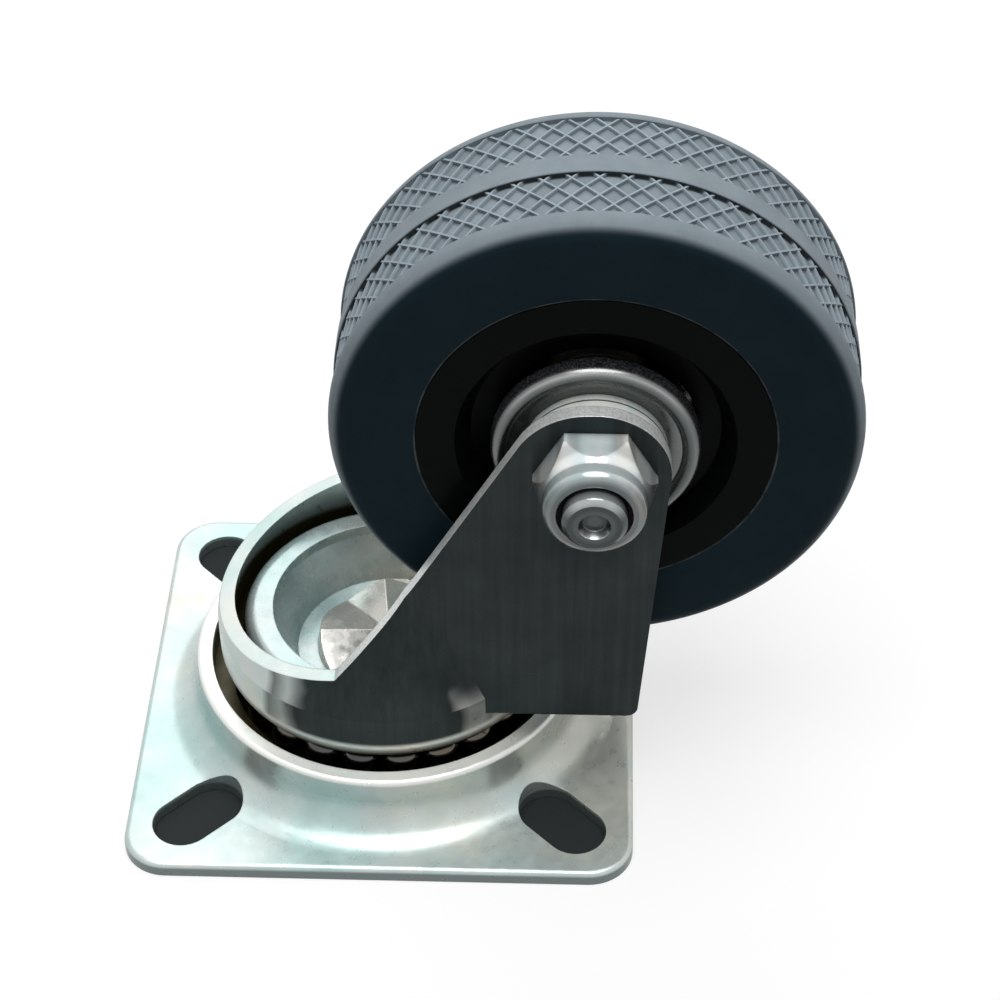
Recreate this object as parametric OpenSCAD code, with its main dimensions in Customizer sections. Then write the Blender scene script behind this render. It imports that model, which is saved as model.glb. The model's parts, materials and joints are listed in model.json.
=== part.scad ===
// Swivel castor with a square plate, standing on its plate with the wheel up.
// Origin: centre of the mounting face, on the swivel axis. The wheel trails to +X.

/* [Mounting plate] */
// Side of the square plate
plate_side = 51; // [50:0.5:60]
// Thickness of the plate's sheet
plate_t = 1.5; // [1.2:0.1:1.8]
// Radius of the plate's corners
plate_corner_r = 4.5; // [2:0.5:6]
// Rounding of the plate's upper edge
plate_edge_r = 0.6; // [0.2:0.1:1]
// Overall length of a fixing slot
slot_len = 10; // [8:0.1:10.5]
// Width of a fixing slot
slot_w = 6.2; // [5:0.1:7]
// Sheet left between a fixing slot and the raised rim
slot_to_rim = 1; // [0.5:0.1:1.5]
// Width of the raised rim round the ball track
rim_w = 1.6; // [1.4:0.1:2]
// Height of the raised rim above the mounting face
rim_h = 8.1; // [7:0.1:8.5]
// Rounding of the rim's outer upper edge
rim_edge_r = 0.5; // [0.2:0.1:0.7]
// Radius of the fillet at the foot of the rim
rim_foot_r = 3.8; // [2:0.1:4.2]
// Gap between the raised rim and the fork's crown
rim_gap = 1; // [0.6:0.1:1.2]
// Height of the plate's middle boss above the mounting face
boss_h = 6.8; // [6:0.1:7.2]
// Gap between the plate's middle boss and the lower balls
boss_gap = 1; // [0.6:0.1:1.4]

/* [Swivel bearing] */
// Diameter of the lower row's balls
lower_ball_d = 4; // [3.5:0.1:4.2]
// Diameter of the upper row's balls
upper_ball_d = 3.5; // [3:0.1:4]
// Height of the lower ball track above the mounting face
track_z = 3.5; // [3.2:0.1:4]
// Clearance between a ball and the tracks that it runs on
ball_clear = 0.05; // [0.02:0.01:0.1]
// Gap between neighbouring balls
ball_gap = 0.06; // [0.02:0.01:0.2]
// Depth of the groove that a ball runs in
groove_depth = 0.8; // [0.4:0.1:1]

/* [Kingpin and retainer cup] */
// Diameter of the kingpin's shank
kingpin_d = 8; // [6:0.5:9]
// Diameter of the kingpin's round head under the plate
kingpin_head_d = 14; // [12:0.5:15]
// Thickness of the kingpin's round head
kingpin_head_t = 2; // [1.5:0.1:2.4]
// Diameter of the kingpin's staked end
stake_d = 15; // [11:0.1:15.4]
// Height of the kingpin's staked end
stake_h = 2.6; // [2.2:0.1:3]
// Draw-in of the staked end from its foot to its top, on the radius
stake_taper = 0.5; // [0.3:0.1:1.5]
// Number of star grooves in the staked end
stake_grooves = 4; // [3:1:6]
// Turn of the star grooves about the swivel axis
stake_turn = 40; // [0:1:90]
// Height of the star's middle above the retainer cup's floor
star_mid_h = 1.8; // [1.6:0.1:2]
// Slope of a star groove's steep side
star_steep = 25; // [20:1:32]
// Slope of a star groove's other side
star_low = 13; // [10:1:18]
// Fall of a star groove from the middle to the edge
star_fall = 11; // [6:1:12]
// Thickness of the retainer cup's sheet
retainer_t = 1.2; // [1:0.1:1.4]
// Gap between the upper balls and the retainer cup's wall
retainer_ball_gap = 0.8; // [0.6:0.05:1.2]
// Half the width of the retainer cup's rolled rim
retainer_roll_r = 1.5; // [1.2:0.05:1.7]
// Gap between the retainer cup and the fork's crown
retainer_gap = 1.15; // [0.6:0.05:1.6]
// Clearance of the kingpin in the pieces that it holds
kingpin_clear = 0.05; // [0.02:0.01:0.1]

/* [Fork] */
// Thickness of the fork's sheet
fork_t = 1.5; // [1.2:0.1:1.6]
// Outer diameter of the fork's round crown
crown_d = 34.8; // [34:0.1:37]
// Outer radius of the bend between the crown's floor and wall
crown_bend_r = 3; // [2.5:0.1:3.5]
// Height of the crown's ring edge at its back
ring_h = 14.9; // [13.5:0.1:15.5]
// Rise angle of the crown's ring edge towards the legs
ring_rise = 14; // [5:1:18]
// Height at which the crown's wall starts to draw in
shoulder_h = 14; // [13:0.5:16]
// Height at which the drawn-in wall meets the flat legs
neck_h = 32; // [28:0.5:36]
// Gap between the crown's floor hole and the retainer cup
crown_hole_gap = 0.4; // [0.3:0.05:0.8]
// Distance between the inner faces of the legs
leg_gap = 24.6; // [24:0.1:26]
// Height of the legs' lower edge
leg_foot_h = 12; // [11.4:0.1:12.8]
// Horizontal offset of the axle from the swivel axis
axle_x = 21; // [19:0.5:23]
// Height of the axle above the mounting face
axle_z = 43.6; // [42:0.1:46]
// Radius of the leg's end round the axle
leg_end_r = 7; // [6:0.1:8]
// Radius of the leg's end on its sloping side
leg_back_r = 7.5; // [7:0.1:9]
// Length of the flat between the two end radii
leg_end_flat = 0.5; // [0.3:0.1:2]
// Slope of the leg's back edge above its knee
leg_slope = 60.5; // [58:0.5:66]
// Slope of the leg's back edge below its knee
leg_foot_slope = 52.5; // [48:0.5:56]
// Height of the knee in the leg's back edge
leg_knee_h = 27.2; // [25:0.2:30]
// Radius of the knee in the leg's back edge
leg_knee_r = 45; // [20:5:60]
// Lean of the leg's front edge
leg_lean = 4.4; // [2:0.1:6]
// Radius of the leg's lower front corner
leg_corner_r = 1.2; // [0.5:0.1:2]
// Depth of the open front between the legs, below their lower edge
foot_relief = 0.2; // [0.1:0.1:0.6]

/* [Wheel] */
// Diameter of the wheel
wheel_d = 50; // [48:0.5:51]
// Width of the wheel
wheel_w = 19; // [18.5:0.5:19.5]
// Radius of the tyre's shoulders
tyre_shoulder_r = 2.1; // [1:0.1:2.2]
// Diameter of the plastic core
core_d = 33.4; // [32:0.1:36]
// Width of a recessed tread band
tread_band_w = 6; // [5:0.1:6]
// Width of the plain rib between the tread bands
tread_rib_w = 2.6; // [2:0.1:3]
// Depth of the tread bands
tread_depth = 0.5; // [0.3:0.05:0.8]
// Diameter of the recess in the core's face
core_recess_d = 26.2; // [25:0.1:28]
// Depth of the recess in the core's face
core_recess_depth = 2.4; // [2:0.1:2.6]
// Slope length of the recess's side, measured inwards
core_recess_slope = 1.4; // [0.5:0.1:2]

/* [Hub] */
// Diameter of the axle bolt
axle_d = 6; // [5:0.1:6.2]
// Clearance of the axle bolt in the pieces that it passes through, on the radius
axle_clear = 0.06; // [0.02:0.01:0.1]
// Outer diameter of the hub bearing
bearing_d = 19; // [18.5:0.1:19.2]
// Width of the hub bearing
bearing_w = 6; // [5:0.5:7]
// Diameter of the hub bearing's balls
hub_ball_d = 3.5; // [3:0.1:3.8]
// Number of the hub bearing's balls
hub_balls = 7; // [6:1:8]
// Wall thickness of a hub bearing ring beside its groove
bearing_wall = 2.1; // [1.8:0.05:2.3]
// Clearance of the balls and shields in the hub bearing
bearing_clear = 0.04; // [0.02:0.01:0.08]
// Width of the cage's edge beside a ball pocket
cage_edge = 0.35; // [0.2:0.05:0.4]
// Gap between the cage and a hub bearing ring
cage_gap = 0.7; // [0.5:0.05:0.8]
// Thickness of a hub bearing's shield
shield_t = 0.3; // [0.2:0.05:0.4]
// Outer diameter of a spacer bush's tube
bush_d = 9; // [8.4:0.1:9.6]
// Diameter of a spacer bush's flange
bush_flange_d = 13.5; // [12:0.1:15]
// Thickness of a spacer bush's flange
bush_flange_t = 2; // [1.4:0.1:2.1]
// Diameter of a dust cap
cap_d = 19.5; // [18:0.1:21]
// Sheet thickness of a dust cap
cap_t = 0.8; // [0.6:0.1:0.9]
// Rounding of a dust cap's rim
cap_roll_r = 0.9; // [0.8:0.05:1.1]
// Height of a dust cap's rim above its web
cap_rim_h = 0.55; // [0.3:0.05:0.8]
// Depth of a dust cap's wall
cap_depth = 2.1; // [2:0.1:3.1]

/* [Nut and bolt] */
// Width across the flats of the nut and the bolt's head
hex_af = 10; // [9:0.5:11]
// Setback of the head's chamfer from its flats
hex_setback = 0.2; // [0.1:0.05:0.4]
// Slope of the head's chamfer
hex_slope = 30; // [25:1:40]
// Height of the nut's hexagon
nut_hex_h = 3.8; // [3.4:0.1:4.4]
// Height of the nut's full corners, above which they taper to the collar
nut_corner_h = 0.9; // [0.5:0.1:1.6]
// Height of the nut's round collar above the hexagon
collar_h = 1.9; // [1.5:0.1:2.2]
// Diameter of the nut's round collar
collar_d = 9.6; // [8.6:0.1:9.8]
// Radial width of the nut's nylon insert
insert_w = 0.9; // [0.5:0.1:1]
// Height of the nut's nylon insert
insert_h = 1.6; // [1:0.1:2]
// Thickness of the lip that holds the nylon insert
insert_lip_t = 0.5; // [0.4:0.1:0.6]
// Height of the bolt's hexagon head
bolt_head_h = 4; // [3:0.1:4.5]
// Length of the bolt's end that stands out of the nut
bolt_end = 1.4; // [0.6:0.1:2]
// Chamfer of the bolt's end
bolt_chamfer = 0.5; // [0.3:0.1:0.8]
// Diameter of the dimple in the bolt's end
dimple_d = 3; // [2:0.1:3.5]
// Depth of the dimple in the bolt's end
dimple_depth = 0.8; // [0.3:0.1:0.9]

/* [Hidden] */
$fn = 96;
// Length by which a cutting body runs past what it cuts
over = 1;
// Swivel: the lower balls run under the start of the crown's bend
crown_r = crown_d / 2;
lower_pitch_r = crown_r - crown_bend_r;
lower_ball_z = track_z + ball_clear + lower_ball_d / 2;
crown_z = lower_ball_z + lower_ball_d / 2 + ball_clear;
crown_top_z = crown_z + fork_t;
// Swivel: the upper balls run between the crown's floor and the retainer's rim
retainer_r = crown_r - fork_t - retainer_gap;
upper_pitch_r = retainer_r - retainer_roll_r;
upper_ball_z = crown_top_z + ball_clear + upper_ball_d / 2;
retainer_under_z = upper_ball_z + upper_ball_d / 2 + ball_clear;
retainer_floor_z = boss_h + retainer_t;
retainer_waist_r = upper_pitch_r - upper_ball_d / 2 - retainer_ball_gap;
retainer_floor_r = retainer_waist_r - retainer_t;
crown_hole_r = retainer_waist_r + crown_hole_gap;
retainer_mouth_r = upper_pitch_r - retainer_roll_r;
// Plate: the rim stands outside the crown, the slots outside the rim
rim_in_r = crown_r + rim_gap;
rim_out_r = rim_in_r + rim_w;
slot_centre_r = rim_out_r + slot_to_rim + slot_len / 2;
track_seat_z = track_z + groove_depth;
boss_r = lower_pitch_r - lower_ball_d / 2 - boss_gap;
kingpin_r = kingpin_d / 2;
stake_r = stake_d / 2;
// Fork
leg_out = leg_gap / 2 + fork_t;
ring_dir = [cos(ring_rise), sin(ring_rise)];
back_dir = [cos(leg_slope), sin(leg_slope)];
end_centre = [axle_x - leg_end_flat, axle_z + leg_end_r - leg_back_r];
back_top = end_centre + leg_back_r * [-sin(leg_slope), cos(leg_slope)];
front_top = [axle_x + leg_end_r * cos(leg_lean), axle_z - leg_end_r * sin(leg_lean)];
front_foot = [front_top[0] - (front_top[1] - leg_foot_h) * tan(leg_lean), leg_foot_h];
foot_corner = front_foot + leg_corner_r * [tan(leg_lean) - 1 / cos(leg_lean), 1];
// Knee of the leg's back edge, as an arc between its two slopes
foot_dir = [cos(leg_foot_slope), sin(leg_foot_slope)];
knee = back_top - (back_top[1] - leg_knee_h) / back_dir[1] * back_dir;
knee_turn = leg_slope - leg_foot_slope;
knee_end = knee + leg_knee_r * tan(knee_turn / 2) * back_dir;
knee_centre = knee_end + leg_knee_r * [-back_dir[1], back_dir[0]];
knee_steps = 6;
knee_arc = [for (i = [0 : knee_steps])
            let (a = leg_foot_slope + knee_turn * i / knee_steps)
            knee_centre + leg_knee_r * [sin(a), -cos(a)]];
// Corner where the ring edge meets the leg's back edge
ring_start = [-crown_r, ring_h];
corner_run = ((knee[1] - ring_start[1]) * foot_dir[0] - (knee[0] - ring_start[0]) * foot_dir[1])
             / (ring_dir[1] * foot_dir[0] - ring_dir[0] * foot_dir[1]);
ring_end = ring_start + corner_run * ring_dir;
// Wheel and hub, measured along the axle from the wheel's middle
wheel_r = wheel_d / 2;
core_r = core_d / 2;
half_w = wheel_w / 2;
bush_top = leg_gap / 2;
bush_seat = bush_top - bush_flange_t;
cap_rim_top = bush_seat + cap_rim_h;
cap_r = cap_d / 2;
bolt_r = axle_d / 2;
bore_r = bolt_r + axle_clear;
hub_pitch_r = (bearing_d / 2 + bolt_r) / 2;
inner_land_r = bolt_r + bearing_wall;
outer_land_r = bearing_d / 2 - bearing_wall;
core_shoulder_r = bearing_d / 2 - bearing_wall / 2;
core_floor = half_w - core_recess_depth;
nut_top = leg_out + nut_hex_h + collar_h;
bolt_tip = nut_top + bolt_end;
hex_corner_r = hex_af / sqrt(3);

steel = "silver";
plated = "lightsteelblue";

// Local +Z runs along the axle towards the nut
module on_axle() {
    translate([axle_x, 0, axle_z])
        rotate([90, 0, 0])
            children();
}

// The far half of the hub is the near half turned over
module far_side() {
    mirror([0, 1, 0])
        children();
}

module ball_row(d, pitch_r, z) {
    count = floor(180 / asin((d + ball_gap) / 2 / pitch_r));
    for (i = [0 : count - 1])
        rotate([0, 0, i * 360 / count])
            translate([pitch_r, 0, z])
                sphere(d = d);
}

// Groove of a ball row, a little larger than the ball
module ball_groove(d, pitch_r, z, clear) {
    rotate_extrude()
        translate([pitch_r, z])
            circle(r = d / 2 + clear);
}

// Square plate with round corners and a rounded upper edge
module plate_blank() {
    reach = plate_side / 2 - plate_corner_r;
    for (turn = [0, 90])
        rotate([0, 0, turn])
            translate([-plate_side / 2, -reach, 0])
                cube([plate_side, 2 * reach, plate_t - plate_edge_r]);
    for (turn = [0, 90])
        rotate([0, 0, turn])
            translate([-plate_side / 2 + plate_edge_r, -reach, 0])
                cube([plate_side - 2 * plate_edge_r, 2 * reach, plate_t]);
    for (turn = [0 : 90 : 270])
        rotate([0, 0, turn]) {
            translate([plate_side / 2 - plate_edge_r, 0, plate_t - plate_edge_r])
                rotate([90, 0, 0])
                    cylinder(r = plate_edge_r, h = 2 * reach, center = true);
            translate([reach, reach, 0])
                rotate_extrude()
                    plate_corner_section();
        }
}

module plate_corner_section() {
    square([plate_corner_r, plate_t - plate_edge_r]);
    square([plate_corner_r - plate_edge_r, plate_t]);
    intersection() {
        translate([plate_corner_r - plate_edge_r, plate_t - plate_edge_r])
            circle(r = plate_edge_r);
        square([plate_corner_r, plate_t]);
    }
}

// Upper side of the pressed middle: boss, ball track, rim and its foot
module plate_pressing() {
    rotate_extrude() {
        square([boss_r, boss_h]);
        square([rim_out_r, track_seat_z]);
        translate([rim_in_r, 0])
            square([rim_w, rim_h - rim_edge_r]);
        translate([rim_in_r, 0])
            square([rim_w - rim_edge_r, rim_h]);
        translate([rim_out_r - rim_edge_r, rim_h - rim_edge_r])
            circle(r = rim_edge_r);
        difference() {
            square([rim_out_r + rim_foot_r, plate_t + rim_foot_r]);
            translate([rim_out_r + rim_foot_r, plate_t + rim_foot_r])
                circle(r = rim_foot_r);
        }
    }
}

// Hollow on the mounting side, one sheet thickness under the pressing
module plate_hollow() {
    translate([0, 0, -over])
        cylinder(r = rim_out_r - plate_t, h = over + track_z - plate_t);
    translate([0, 0, -over])
        cylinder(r = boss_r - plate_t, h = over + boss_h - plate_t);
}

module fixing_slots() {
    run = slot_len - slot_w;
    for (turn = [45 : 90 : 315])
        rotate([0, 0, turn])
            translate([slot_centre_r, 0, -over]) {
                translate([-run / 2, -slot_w / 2, 0])
                    cube([run, slot_w, rim_h + over]);
                for (end = [-run / 2, run / 2])
                    translate([end, 0, 0])
                        cylinder(d = slot_w, h = rim_h + over);
            }
}

module mounting_plate() {
    color(plated)
        difference() {
            union() {
                plate_blank();
                plate_pressing();
            }
            plate_hollow();
            ball_groove(lower_ball_d, lower_pitch_r, lower_ball_z, ball_clear);
            fixing_slots();
            cylinder(r = kingpin_r + kingpin_clear, h = boss_h + over);
        }
}

module kingpin() {
    head_top = boss_h - plate_t;
    color(steel) {
        translate([0, 0, head_top - kingpin_head_t])
            cylinder(d = kingpin_head_d, h = kingpin_head_t);
        translate([0, 0, head_top - over])
            cylinder(r = kingpin_r, h = retainer_floor_z - head_top + 2 * over);
        translate([0, 0, retainer_floor_z])
            staked_end();
    }
}

// Star-staked rivet end: V grooves that fall outwards, with a ridge between each two
module staked_end() {
    top = 2 * stake_h;
    difference() {
        cylinder(r1 = stake_r, r2 = stake_r - stake_taper, h = stake_h);
        for (i = [0 : stake_grooves - 1])
            rotate([0, 0, i * 360 / stake_grooves + stake_turn])
                translate([0, 0, star_mid_h])
                    rotate([0, star_fall, 0])
                        rotate([90, 0, 90])
                            translate([0, 0, -over])
                                linear_extrude(height = 2 * stake_r)
                                    polygon([[0, 0], [stake_r, stake_r * tan(star_low)], [stake_r, top],
                                             [-stake_r, top], [-stake_r, stake_r * tan(star_steep)]]);
    }
}

// Section of the pressed cup: floor, flaring wall and rolled rim
module retainer_section() {
    rim_base_z = retainer_under_z;
    difference() {
        union() {
            translate([0, boss_h])
                square([retainer_waist_r, retainer_t]);
            polygon([[0, boss_h], [retainer_waist_r, boss_h], [retainer_waist_r, crown_top_z],
                     [upper_pitch_r, rim_base_z], [0, rim_base_z]]);
            translate([0, rim_base_z])
                square([upper_pitch_r, retainer_t]);
            translate([upper_pitch_r, rim_base_z + retainer_t - retainer_roll_r])
                circle(r = retainer_roll_r);
        }
        polygon([[0, retainer_floor_z], [retainer_floor_r, retainer_floor_z],
                 [retainer_mouth_r, rim_base_z], [retainer_mouth_r, rim_base_z + over + retainer_t],
                 [0, rim_base_z + over + retainer_t]]);
    }
}

module retainer_cup() {
    color(plated)
        difference() {
            rotate_extrude()
                retainer_section();
            ball_groove(upper_ball_d, upper_pitch_r, upper_ball_z, ball_clear);
            translate([0, 0, boss_h - over])
                cylinder(r = kingpin_r + kingpin_clear, h = retainer_t + 2 * over);
        }
}

module lower_balls() {
    color(steel)
        ball_row(lower_ball_d, lower_pitch_r, lower_ball_z);
}

module upper_balls() {
    color(steel)
        ball_row(upper_ball_d, upper_pitch_r, upper_ball_z);
}

// Body of the crown: rounded dish whose wall draws in towards the legs
module crown_form(inset) {
    r = crown_r - inset;
    floor_z = crown_z + inset;
    bend = crown_bend_r - inset;
    rotate_extrude() {
        translate([0, floor_z])
            square([r - bend, bend]);
        translate([r - bend, floor_z + bend])
            circle(r = bend);
        translate([0, floor_z + bend])
            square([r, shoulder_h - floor_z - bend]);
        polygon([[0, shoulder_h], [r, shoulder_h], [leg_out - fork_t / 2 - inset, neck_h], [0, neck_h]]);
    }
}

// Body between the outer or inner faces of the legs, from a given height up
module leg_form(inset, foot_z) {
    half = leg_out - inset;
    translate([0, -half, foot_z])
        cube([axle_x + 2 * wheel_r, 2 * half, axle_z]);
}

// Side form of the fork: ring edge, kneed back edge, rounded end, leaning front edge
module fork_side() {
    leg_top = axle_z + leg_end_r;
    depth = 3 * crown_d;
    rotate([90, 0, 0])
        difference() {
            union() {
                linear_extrude(height = depth, center = true)
                    polygon(concat([[-crown_r - over, 0], ring_start - over * ring_dir, ring_end], knee_arc,
                                   [back_top, [end_centre[0], leg_top], [axle_x, leg_top], front_top,
                                    front_foot, [front_foot[0], 0]]));
                translate(end_centre)
                    cylinder(r = leg_back_r, h = depth, center = true);
                translate([axle_x, axle_z])
                    cylinder(r = leg_end_r, h = depth, center = true);
            }
            difference() {
                translate([foot_corner[0], 0, -depth])
                    cube([2 * leg_corner_r, foot_corner[1], 2 * depth]);
                translate(foot_corner)
                    cylinder(r = leg_corner_r, h = 3 * depth, center = true);
            }
        }
}

module fork() {
    color(plated)
        difference() {
            intersection() {
                difference() {
                    union() {
                        crown_form(0);
                        leg_form(0, leg_foot_h);
                    }
                    crown_form(fork_t);
                    leg_form(fork_t, leg_foot_h - foot_relief);
                }
                fork_side();
            }
            translate([0, 0, crown_z - over])
                cylinder(r = crown_hole_r, h = fork_t + 2 * over);
            on_axle()
                cylinder(r = bore_r, h = 2 * leg_out + 2 * over, center = true);
        }
}

// Hexagon with its corners turned off by a cone at one end
module chamfered_hex(h) {
    chamfer_r = hex_af / 2 - hex_setback;
    intersection() {
        cylinder(r = hex_corner_r, h = h, $fn = 6);
        cylinder(r1 = chamfer_r + h / tan(hex_slope), r2 = chamfer_r - over / tan(hex_slope), h = h + over);
    }
}

// Hexagon whose corners taper to the nut's collar
module nut_hex() {
    collar_r = collar_d / 2;
    taper = (hex_corner_r - collar_r) / (nut_hex_h - nut_corner_h);
    intersection() {
        cylinder(r = hex_corner_r, h = nut_hex_h, $fn = 6);
        cylinder(r1 = hex_corner_r + taper * nut_corner_h, r2 = collar_r, h = nut_hex_h);
    }
}

module axle_bolt() {
    color(steel)
        on_axle() {
            difference() {
                union() {
                    translate([0, 0, -leg_out - over])
                        cylinder(r = bolt_r, h = leg_out + over + bolt_tip - bolt_chamfer);
                    translate([0, 0, bolt_tip - bolt_chamfer])
                        cylinder(r1 = bolt_r, r2 = bolt_r - bolt_chamfer, h = bolt_chamfer);
                }
                translate([0, 0, bolt_tip - dimple_depth])
                    cylinder(r1 = dimple_d / 2 - dimple_depth / 2, r2 = dimple_d / 2, h = dimple_depth);
            }
            translate([0, 0, -leg_out])
                mirror([0, 0, 1])
                    chamfered_hex(bolt_head_h);
        }
}

module lock_nut() {
    hex_top = leg_out + nut_hex_h;
    round_r = collar_h / 2;
    insert_top = nut_top - insert_lip_t;
    color(plated)
        on_axle()
            difference() {
                union() {
                    translate([0, 0, leg_out])
                        nut_hex();
                    rotate_extrude() {
                        translate([0, hex_top])
                            square([collar_d / 2, collar_h - round_r]);
                        translate([0, hex_top])
                            square([collar_d / 2 - round_r, collar_h]);
                        translate([collar_d / 2 - round_r, hex_top + collar_h - round_r])
                            circle(r = round_r);
                    }
                }
                translate([0, 0, leg_out - over])
                    cylinder(r = bore_r, h = nut_hex_h + collar_h + 2 * over);
                translate([0, 0, insert_top - insert_h])
                    cylinder(r = bore_r + insert_w, h = insert_h);
                translate([0, 0, insert_top])
                    cylinder(r = bore_r + insert_w / 2, h = 2 * over);
            }
}

module nut_insert() {
    insert_top = nut_top - insert_lip_t;
    color("dimgray")
        on_axle()
            translate([0, 0, insert_top - insert_h])
                difference() {
                    cylinder(r = bore_r + insert_w, h = insert_h);
                    translate([0, 0, -over])
                        cylinder(r = bore_r, h = insert_h + 2 * over);
                }
}

// Tube from the bearing's inner ring out to a flange against the leg
module near_bush() {
    color(plated)
        on_axle()
            difference() {
                union() {
                    translate([0, 0, bearing_w / 2])
                        cylinder(d = bush_d, h = bush_top - bearing_w / 2);
                    translate([0, 0, bush_seat])
                        cylinder(d = bush_flange_d, h = bush_flange_t);
                }
                cylinder(r = bore_r, h = leg_gap);
            }
}

module far_bush() {
    far_side()
        near_bush();
}

// Pressed cup on the bush, its rim rolled and its web held under the bush's flange
module near_dust_cap() {
    color(steel)
        on_axle()
            rotate_extrude() {
                translate([bush_d / 2 + axle_clear, bush_seat - cap_t])
                    square([cap_r - cap_roll_r - bush_d / 2 - axle_clear, cap_t]);
                translate([cap_r - cap_roll_r, cap_rim_top - cap_roll_r])
                    circle(r = cap_roll_r);
                translate([cap_r - cap_t, cap_rim_top - cap_depth])
                    square([cap_t, cap_depth - cap_roll_r]);
            }
}

module far_dust_cap() {
    far_side()
        near_dust_cap();
}

// Core with a recess in each face and a shoulder behind the bearing
module wheel_core() {
    bearing_r = bearing_d / 2;
    recess_r = core_recess_d / 2;
    recess_foot_r = recess_r - core_recess_slope;
    color("black")
        on_axle()
            rotate_extrude()
                polygon([[bearing_r, core_floor], [recess_foot_r, core_floor], [recess_r, half_w],
                         [core_r, half_w], [core_r, -half_w], [recess_r, -half_w],
                         [recess_foot_r, -core_floor], [core_shoulder_r, -core_floor],
                         [core_shoulder_r, -bearing_w / 2], [bearing_r, -bearing_w / 2]]);
}

// Tyre section with round shoulders and two sunk tread bands
module tyre() {
    color("slategray")
        on_axle()
            rotate_extrude()
                difference() {
                    union() {
                        translate([core_r, -half_w])
                            square([wheel_r - tyre_shoulder_r - core_r, wheel_w]);
                        translate([core_r, -half_w + tyre_shoulder_r])
                            square([wheel_r - core_r, wheel_w - 2 * tyre_shoulder_r]);
                        for (side = [-1, 1])
                            translate([wheel_r - tyre_shoulder_r, side * (half_w - tyre_shoulder_r)])
                                circle(r = tyre_shoulder_r);
                    }
                    for (start = [tread_rib_w / 2, -tread_rib_w / 2 - tread_band_w])
                        translate([wheel_r - tread_depth, start])
                            square([tread_depth + over, tread_band_w]);
                }
}

// Ring of the hub bearing with its ball groove
module bearing_ring(r_in, r_out) {
    difference() {
        cylinder(r = r_out, h = bearing_w, center = true);
        cylinder(r = r_in, h = bearing_w + over, center = true);
        ball_groove(hub_ball_d, hub_pitch_r, 0, bearing_clear);
    }
}

module bearing_outer_ring() {
    color(steel)
        on_axle()
            bearing_ring(outer_land_r, bearing_d / 2);
}

module bearing_inner_ring() {
    color(steel)
        on_axle()
            bearing_ring(bore_r, inner_land_r);
}

module hub_ball_places() {
    for (i = [0 : hub_balls - 1])
        rotate([0, 0, i * 360 / hub_balls])
            translate([hub_pitch_r, 0, 0])
                children();
}

module bearing_balls() {
    color(steel)
        on_axle()
            hub_ball_places()
                sphere(d = hub_ball_d);
}

// Ring that spaces the balls, with a round pocket for each
module bearing_cage() {
    cage_w = hub_ball_d + 2 * cage_edge;
    cage_t = outer_land_r - inner_land_r - 2 * cage_gap;
    color(steel)
        on_axle()
            difference() {
                cylinder(r = hub_pitch_r + cage_t / 2, h = cage_w, center = true);
                cylinder(r = hub_pitch_r - cage_t / 2, h = cage_w + over, center = true);
                hub_ball_places()
                    rotate([0, 90, 0])
                        cylinder(r = hub_ball_d / 2 + bearing_clear, h = cage_t + over, center = true);
            }
}

// Thin ring that closes the hub bearing, held in its outer ring
module near_shield() {
    color(steel)
        on_axle()
            translate([0, 0, bearing_w / 2 - 2 * shield_t])
                difference() {
                    cylinder(r = outer_land_r, h = shield_t);
                    translate([0, 0, -over])
                        cylinder(r = inner_land_r + 2 * bearing_clear, h = shield_t + 2 * over);
                }
}

module far_shield() {
    far_side()
        near_shield();
}

mounting_plate();
kingpin();
retainer_cup();
lower_balls();
upper_balls();
fork();
axle_bolt();
lock_nut();
nut_insert();
near_bush();
far_bush();
near_dust_cap();
far_dust_cap();
wheel_core();
tyre();
bearing_outer_ring();
bearing_inner_ring();
bearing_balls();
bearing_cage();
near_shield();
far_shield();
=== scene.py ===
"""Plate castor standing on its plate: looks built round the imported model."""
import json
import math
import random

import bmesh
import bpy
from mathutils import Matrix, Vector


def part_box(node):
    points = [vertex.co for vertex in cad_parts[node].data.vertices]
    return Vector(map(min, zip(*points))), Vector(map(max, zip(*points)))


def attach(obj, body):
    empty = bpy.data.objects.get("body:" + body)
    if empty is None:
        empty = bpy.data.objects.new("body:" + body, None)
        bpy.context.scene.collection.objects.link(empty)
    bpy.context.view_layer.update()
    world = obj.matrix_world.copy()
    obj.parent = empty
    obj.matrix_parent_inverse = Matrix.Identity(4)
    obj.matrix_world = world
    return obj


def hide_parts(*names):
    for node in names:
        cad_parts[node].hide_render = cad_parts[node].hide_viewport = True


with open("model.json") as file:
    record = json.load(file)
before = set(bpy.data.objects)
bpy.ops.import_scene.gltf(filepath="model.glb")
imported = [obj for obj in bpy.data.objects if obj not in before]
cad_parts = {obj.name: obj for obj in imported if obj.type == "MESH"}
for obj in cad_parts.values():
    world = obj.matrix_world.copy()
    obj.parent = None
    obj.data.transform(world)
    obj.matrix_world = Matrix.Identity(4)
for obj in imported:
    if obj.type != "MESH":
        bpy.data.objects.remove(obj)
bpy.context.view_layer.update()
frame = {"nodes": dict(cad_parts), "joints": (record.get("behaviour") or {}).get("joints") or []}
nodes = frame["nodes"]
MM = 0.001
TAU = 2 * math.pi


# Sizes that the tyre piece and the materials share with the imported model, in millimetres

def in_mm(metres):
    return round(metres / MM, 2)


wheel_spin = next(joint for joint in frame["joints"] if joint["name"] == "wheel_spin")
AXLE_X, AXLE_Y, AXLE_Z = (in_mm(value) for value in wheel_spin["pos_m"])
tyre_low, tyre_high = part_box("tyre")
core_low, core_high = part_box("wheel_core")
WHEEL_R = in_mm((tyre_high.x - tyre_low.x) / 2)
HALF_W = in_mm((tyre_high.y - tyre_low.y) / 2)
CORE_R = in_mm((core_high.x - core_low.x) / 2)

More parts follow.
